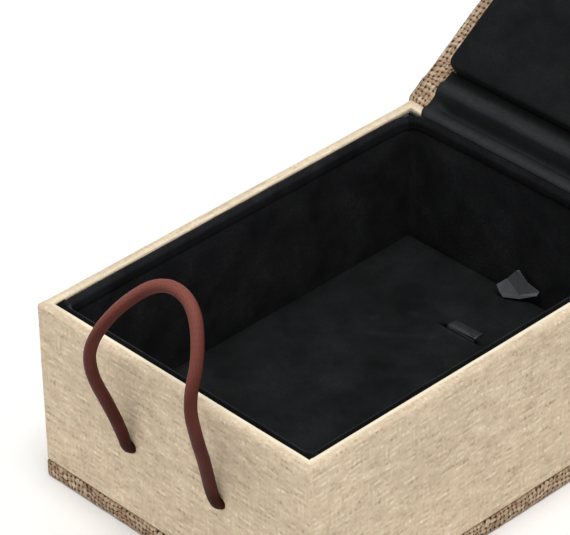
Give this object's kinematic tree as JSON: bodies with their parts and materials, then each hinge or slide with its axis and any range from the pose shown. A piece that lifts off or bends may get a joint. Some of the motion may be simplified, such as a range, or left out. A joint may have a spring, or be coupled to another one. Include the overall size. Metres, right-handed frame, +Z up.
{
  "type": "hinged-lid gift box",
  "caption": "Small book-style gift box: a linen-covered tray with a padded black lining, a hinged padded lid, a cord loop with a button, and a lift-out floor pad.",
  "frame": {"origin": "centre of the tray footprint, on the underside of the base", "axes": "+X to the right along the front, +Y from the front to the hinge, +Z up"},
  "size_m": [0.1024, 0.2725, 0.136],
  "materials": {
    "greyboard": "matte",
    "case_weave": "matte",
    "natural_linen": "matte",
    "card": "matte",
    "black_velvet": "matte",
    "padding": "matte",
    "black_satin": "satin",
    "waxed_cord": "satin",
    "button_wood": "satin"
  },
  "bodies": {
    "tray": {"base_board": "greyboard", "base_cover": "case_weave", "spine_board": "greyboard", "spine_cover": "case_weave", "tray_floor_board": "greyboard", "front_board": "greyboard", "rear_board": "greyboard", "left_board": "greyboard", "right_board": "greyboard", "tray_linen": "natural_linen", "front_lining_card": "card", "rear_lining_card": "card", "left_lining_card": "card", "right_lining_card": "card", "front_lining_velvet": "black_velvet", "rear_lining_velvet": "black_velvet", "left_lining_velvet": "black_velvet", "right_lining_velvet": "black_velvet", "left_cord_end": "waxed_cord", "right_cord_end": "waxed_cord", "inner_hinge_cloth": "black_satin", "outer_hinge_cloth": "case_weave"},
    "lid": {"lid_board": "greyboard", "lid_cover": "case_weave", "lid_pad_card": "card", "lid_pad_foam": "padding", "lid_pad_velvet": "black_velvet", "button": "button_wood", "button_cord": "waxed_cord", "button_washer": "button_wood"},
    "loop": {"cord_loop": "waxed_cord"},
    "floor_pad": {"floor_pad_card": "card", "floor_pad_foam": "padding", "floor_pad_velvet": "black_velvet", "slit_ribbon": "black_satin"},
    "tab": {"lift_tab": "black_satin"}
  },
  "joints": [
    {"name": "lid_hinge", "type": "hinge", "parent": "tray", "child": "lid", "pos_m": [0, 0.0711, 0.05595], "axis": [1, 0, 0], "range_deg": [0, 145.6], "deforming": ["inner_hinge_cloth", "outer_hinge_cloth"]},
    {"name": "loop_swing", "type": "hinge", "parent": "tray", "child": "loop", "pos_m": [0.0008, -0.07005, 0.0275], "axis": [1, 0, 0], "range_deg": [0, 105]},
    {"name": "floor_pad_lift", "type": "slide", "parent": "tray", "child": "floor_pad", "axis": [0, 0, 1], "range_m": [0, 0.024]},
    {"name": "tab_fold", "type": "hinge", "parent": "floor_pad", "child": "tab", "pos_m": [-0.0002, 0.0594, 0.01695], "axis": [0.866, 0.5, 0], "range_deg": [0, 75]}
  ]
}
